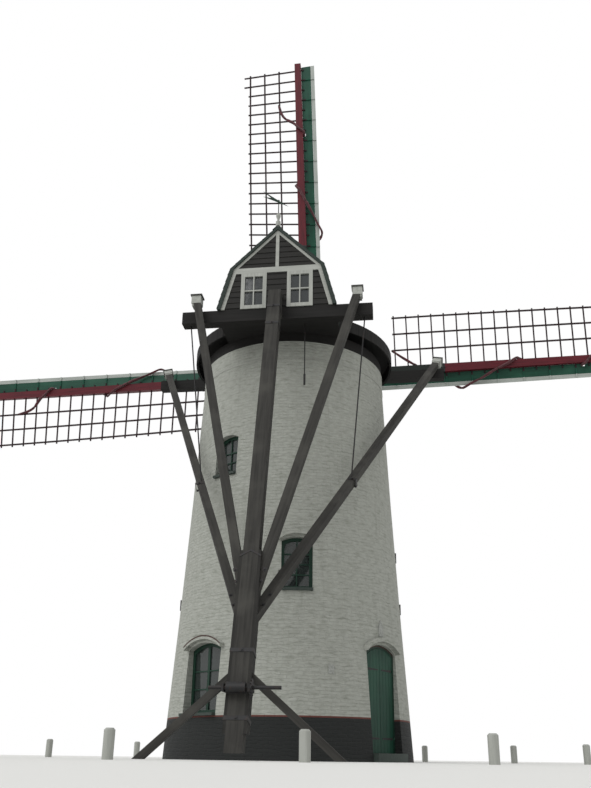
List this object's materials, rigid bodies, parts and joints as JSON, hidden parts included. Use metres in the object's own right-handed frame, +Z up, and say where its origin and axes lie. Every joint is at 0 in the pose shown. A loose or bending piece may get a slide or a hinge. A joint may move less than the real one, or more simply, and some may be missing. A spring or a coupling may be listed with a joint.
{
  "type": "windmill",
  "caption": "Round brick tower windmill with a turning wooden cap, winding tail and braces, and twisted lattice sails on a tilted windshaft",
  "frame": {"origin": "on the tower's axis at ground level", "axes": "+Z up; +Y along the windshaft from the winding tail towards the sails; +X to the right as seen from the tail"},
  "size_m": [23.1692, 15.2668, 23.2493],
  "materials": {
    "stone_floor": "worn brick-on-edge and flag floor",
    "floor_boards": "bare pine boards",
    "limewashed_brick": "limewash over brick, weathered, black tar at the foot",
    "sill_stone": "dark painted sills and steps",
    "oak": "bare weathered oak",
    "black_iron": "black painted wrought iron",
    "green_joinery": "dark green gloss paint",
    "window_glass": "old clear glass over a dark room",
    "plate_stone": "plain grey stone plates",
    "cap_boards": "near-black tarred boards",
    "white_paint": "white gloss paint",
    "weathered_timber": "weathered dark brown-grey timber",
    "roof_felt": "dark green-grey roof boards",
    "painted_sheet": "dark green painted sheet",
    "cast_iron": "black painted cast iron",
    "stock_paint": "dark red paint outside, black-green near the hub",
    "lattice_timber": "near-black bars with a red-brown tint",
    "sail_boards": "green painted boards with a white leading edge",
    "sail_cloth": "dark red-brown sail cloth, rolled"
  },
  "bodies": {
    "tower": {"ground_floor": "stone_floor", "upper_floors": "floor_boards", "side_walls": "limewashed_brick", "corner_walls": "limewashed_brick", "end_walls": "limewashed_brick", "wall_over_doors": "limewashed_brick", "door_steps": "sill_stone", "curb": "oak", "iron_hoop": "black_iron", "window_frames": "green_joinery", "window_glass": "window_glass", "window_hoods": "limewashed_brick", "window_sills": "sill_stone", "door_frames": "green_joinery", "wall_irons": "black_iron", "wall_plates": "plate_stone", "winding_posts": "white_paint"},
    "rear_leaf_left": {"rear_door_left": "green_joinery"},
    "rear_leaf_right": {"rear_door_right": "green_joinery"},
    "front_leaf_left": {"front_door_left": "green_joinery"},
    "front_leaf_right": {"front_door_right": "green_joinery"},
    "cap": {"cap_ring": "oak", "sheers": "oak", "trestles": "oak", "cap_skirt": "cap_boards", "cap_soffit": "cap_boards", "roof_left": "roof_felt", "roof_right": "roof_felt", "gables": "cap_boards", "gable_trim": "white_paint", "cap_windows": "white_paint", "cap_glass": "window_glass", "sprit_beams": "weathered_timber", "tail_pole": "weathered_timber", "tail_cheeks": "weathered_timber", "short_braces": "weathered_timber", "long_braces": "weathered_timber", "brace_caps": "white_paint", "brace_irons": "black_iron", "props": "weathered_timber", "windlass_brackets": "black_iron", "finial": "white_paint"},
    "vane": {"vane": "painted_sheet"},
    "windlass": {"windlass": "black_iron"},
    "sails": {"windshaft": "cast_iron", "poll_end": "cast_iron", "stocks": "stock_paint", "sail_frames": "lattice_timber", "wind_boards": "sail_boards", "furled_sails": "sail_cloth"}
  },
  "joints": [
    {"name": "rear_left_hinge", "type": "hinge", "parent": "tower", "child": "rear_leaf_left", "pos_m": [1.99531, -1.93207, 1.3], "axis": [0, 0, -1], "range_deg": [0, 100]},
    {"name": "rear_right_hinge", "type": "hinge", "parent": "tower", "child": "rear_leaf_right", "pos_m": [2.53884, -1.12625, 1.3], "axis": [0, 0, 1], "range_deg": [0, 100]},
    {"name": "front_left_hinge", "type": "hinge", "parent": "tower", "child": "front_leaf_left", "pos_m": [-1.99531, 1.93207, 1.3], "axis": [0, 0, -1], "range_deg": [0, 100]},
    {"name": "front_right_hinge", "type": "hinge", "parent": "tower", "child": "front_leaf_right", "pos_m": [-2.53884, 1.12625, 1.3], "axis": [0, 0, 1], "range_deg": [0, 100]},
    {"name": "cap_turn", "type": "hinge", "parent": "tower", "child": "cap", "pos_m": [0, 0, 10.1], "axis": [0, 0, 1], "continuous": true},
    {"name": "vane_turn", "type": "hinge", "parent": "cap", "child": "vane", "pos_m": [0, -3.408, 13.48], "axis": [0, 0, 1], "continuous": true},
    {"name": "windlass_turn", "type": "hinge", "parent": "cap", "child": "windlass", "pos_m": [0, -6.66161, 1.16], "axis": [1, 0, 0], "continuous": true},
    {"name": "sails_turn", "type": "hinge", "parent": "cap", "child": "sails", "pos_m": [0, 3.252, 11.765], "axis": [0, 0.9931, 0.1175], "continuous": true}
  ]
}
